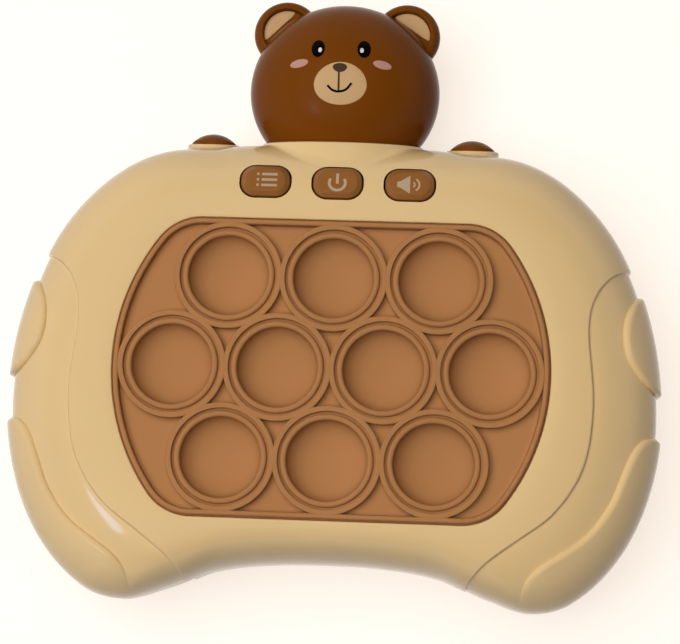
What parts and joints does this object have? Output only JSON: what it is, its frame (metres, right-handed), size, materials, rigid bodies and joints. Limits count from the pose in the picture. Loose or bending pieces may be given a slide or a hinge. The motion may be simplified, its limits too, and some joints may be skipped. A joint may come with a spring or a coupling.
{
  "type": "electronic bubble pop game",
  "caption": "Hand-held quick-push game: rounded case with hand grips and a bear head on top, a silicone pad of push-in bubbles, front and shoulder buttons, and a battery box in the back.",
  "frame": {"origin": "under the middle of the whole game, on the plane that its back rests on", "axes": "+X to the right grip, +Y towards the bear head, +Z out of the face with the bubbles"},
  "size_m": [0.166, 0.1592, 0.0408],
  "materials": {
    "cream_plastic": "satin moulded",
    "brown_silicone": "matte moulded",
    "chocolate_plastic": "polished moulded",
    "cocoa_plastic": "satin moulded",
    "tan_plastic": "satin moulded",
    "milky_plastic": "translucent moulded",
    "white_plastic": "moulded",
    "circuit_board": "solder mask",
    "black_plastic": "moulded",
    "steel": "zinc plated",
    "battery_wrap": "printed sleeve without words",
    "copper": "plated spring strip",
    "red_wire": "wire insulation",
    "grey_paper": "pressed paper"
  },
  "bodies": {
    "case": {"front_shell": "cream_plastic", "rear_shell": "cream_plastic", "bubble_pad": "brown_silicone", "clamp_plate": "white_plastic", "clamp_screws": "steel", "circuit_board": "circuit_board", "board_screws": "steel", "bubble_switches": "black_plastic", "bubble_lights": "white_plastic", "button_switches": "black_plastic", "shoulder_switches": "black_plastic", "control_chip": "black_plastic", "head_front": "chocolate_plastic", "head_rear": "chocolate_plastic", "ear_linings": "tan_plastic", "head_screws": "steel", "case_screws": "steel", "batteries": "battery_wrap", "battery_contacts": "copper", "battery_leads": "red_wire", "speaker_frame": "black_plastic", "speaker_cone": "grey_paper", "speaker_magnet": "steel", "speaker_leads": "black_plastic"},
    "bubble_01_body": {"bubble_01": "brown_silicone", "bubble_key_01": "milky_plastic"},
    "bubble_02_body": {"bubble_02": "brown_silicone", "bubble_key_02": "milky_plastic"},
    "bubble_03_body": {"bubble_03": "brown_silicone", "bubble_key_03": "milky_plastic"},
    "bubble_04_body": {"bubble_04": "brown_silicone", "bubble_key_04": "milky_plastic"},
    "bubble_05_body": {"bubble_05": "brown_silicone", "bubble_key_05": "milky_plastic"},
    "bubble_06_body": {"bubble_06": "brown_silicone", "bubble_key_06": "milky_plastic"},
    "bubble_07_body": {"bubble_07": "brown_silicone", "bubble_key_07": "milky_plastic"},
    "bubble_08_body": {"bubble_08": "brown_silicone", "bubble_key_08": "milky_plastic"},
    "bubble_09_body": {"bubble_09": "brown_silicone", "bubble_key_09": "milky_plastic"},
    "bubble_10_body": {"bubble_10": "brown_silicone", "bubble_key_10": "milky_plastic"},
    "menu_button_body": {"menu_button": "cocoa_plastic"},
    "power_button_body": {"power_button": "cocoa_plastic"},
    "volume_button_body": {"volume_button": "cocoa_plastic"},
    "left_shoulder_body": {"left_shoulder_button": "chocolate_plastic"},
    "right_shoulder_body": {"right_shoulder_button": "chocolate_plastic"},
    "battery_door_body": {"battery_door": "cream_plastic", "door_screws": "steel"}
  },
  "joints": [
    {"name": "bubble_01_push", "type": "slide", "parent": "case", "child": "bubble_01_body", "axis": [0, 0, -1], "range_m": [0, 0.0025], "stiffness_N_per_m": 400},
    {"name": "bubble_02_push", "type": "slide", "parent": "case", "child": "bubble_02_body", "axis": [0, 0, -1], "range_m": [0, 0.0025], "stiffness_N_per_m": 400},
    {"name": "bubble_03_push", "type": "slide", "parent": "case", "child": "bubble_03_body", "axis": [0, 0, -1], "range_m": [0, 0.0025], "stiffness_N_per_m": 400},
    {"name": "bubble_04_push", "type": "slide", "parent": "case", "child": "bubble_04_body", "axis": [0, 0, -1], "range_m": [0, 0.0025], "stiffness_N_per_m": 400},
    {"name": "bubble_05_push", "type": "slide", "parent": "case", "child": "bubble_05_body", "axis": [0, 0, -1], "range_m": [0, 0.0025], "stiffness_N_per_m": 400},
    {"name": "bubble_06_push", "type": "slide", "parent": "case", "child": "bubble_06_body", "axis": [0, 0, -1], "range_m": [0, 0.0025], "stiffness_N_per_m": 400},
    {"name": "bubble_07_push", "type": "slide", "parent": "case", "child": "bubble_07_body", "axis": [0, 0, -1], "range_m": [0, 0.0025], "stiffness_N_per_m": 400},
    {"name": "bubble_08_push", "type": "slide", "parent": "case", "child": "bubble_08_body", "axis": [0, 0, -1], "range_m": [0, 0.0025], "stiffness_N_per_m": 400},
    {"name": "bubble_09_push", "type": "slide", "parent": "case", "child": "bubble_09_body", "axis": [0, 0, -1], "range_m": [0, 0.0025], "stiffness_N_per_m": 400},
    {"name": "bubble_10_push", "type": "slide", "parent": "case", "child": "bubble_10_body", "axis": [0, 0, -1], "range_m": [0, 0.0025], "stiffness_N_per_m": 400},
    {"name": "menu_button_press", "type": "slide", "parent": "case", "child": "menu_button_body", "axis": [0, 0, -1], "range_m": [0, 0.0008], "stiffness_N_per_m": 1200},
    {"name": "power_button_press", "type": "slide", "parent": "case", "child": "power_button_body", "axis": [0, 0, -1], "range_m": [0, 0.0008], "stiffness_N_per_m": 1200},
    {"name": "volume_button_press", "type": "slide", "parent": "case", "child": "volume_button_body", "axis": [0, 0, -1], "range_m": [0, 0.0008], "stiffness_N_per_m": 1200},
    {"name": "left_shoulder_press", "type": "slide", "parent": "case", "child": "left_shoulder_body", "axis": [0, -1, 0], "range_m": [0, 0.002], "stiffness_N_per_m": 500},
    {"name": "right_shoulder_press", "type": "slide", "parent": "case", "child": "right_shoulder_body", "axis": [0, -1, 0], "range_m": [0, 0.002], "stiffness_N_per_m": 500},
    {"name": "battery_door_lift", "type": "slide", "parent": "case", "child": "battery_door_body", "axis": [0, 0, -1], "range_m": [0, 0.02]}
  ]
}
